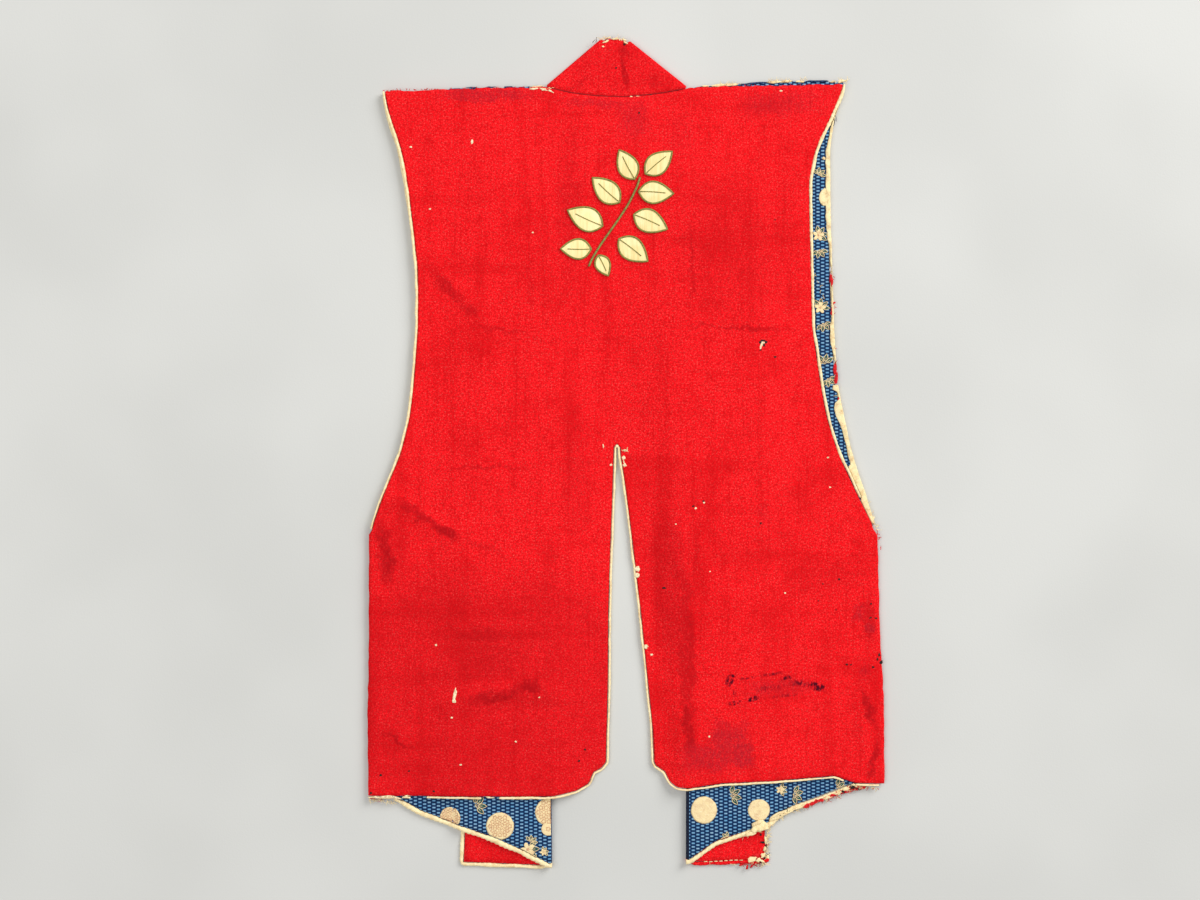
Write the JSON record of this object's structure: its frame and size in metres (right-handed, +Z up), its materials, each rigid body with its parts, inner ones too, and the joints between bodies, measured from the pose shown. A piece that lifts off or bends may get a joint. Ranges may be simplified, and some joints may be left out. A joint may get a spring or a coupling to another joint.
{
  "type": "jinbaori",
  "caption": "Sleeveless scarlet wool campaign coat laid flat on its front, with a centre vent, a short pressed collar, blue figured lining and cream bindings.",
  "frame": {"origin": "on the floor, under the middle of the garment's outline", "axes": "+Z up off the floor, +Y towards the collar, +X towards the wearer's right side"},
  "size_m": [0.5691, 0.9154, 0.014],
  "materials": {
    "scarlet_wool": "felted wool, matt with a soft nap",
    "blue_silk": "figured silk weave, low sheen",
    "cream_binding": "worn twill binding, matt",
    "cream_applique": "plain wool applique, matt",
    "olive_cord": "couched silk cord"
  },
  "bodies": {
    "root": {"back": "scarlet_wool", "front_left": "scarlet_wool", "front_right": "scarlet_wool", "collar": "scarlet_wool", "lining_left": "blue_silk", "lining_right": "blue_silk", "binding_hem_left": "cream_binding", "binding_armhole_left": "cream_binding", "front_binding_left": "cream_binding", "hem_band_left": "cream_binding", "lapel_band_left": "cream_binding", "binding_hem_right": "cream_binding", "binding_armhole_right": "cream_binding", "front_binding_right": "cream_binding", "hem_band_right": "cream_binding", "lapel_band_right": "cream_binding", "collar_edge": "cream_binding", "leaf_1": "cream_applique", "leaf_2": "cream_applique", "leaf_3": "cream_applique", "leaf_4": "cream_applique", "leaf_5": "cream_applique", "leaf_6": "cream_applique", "leaf_7": "cream_applique", "leaf_8": "cream_applique", "leaf_9": "cream_applique", "stem": "olive_cord"}
  },
  "joints": []
}
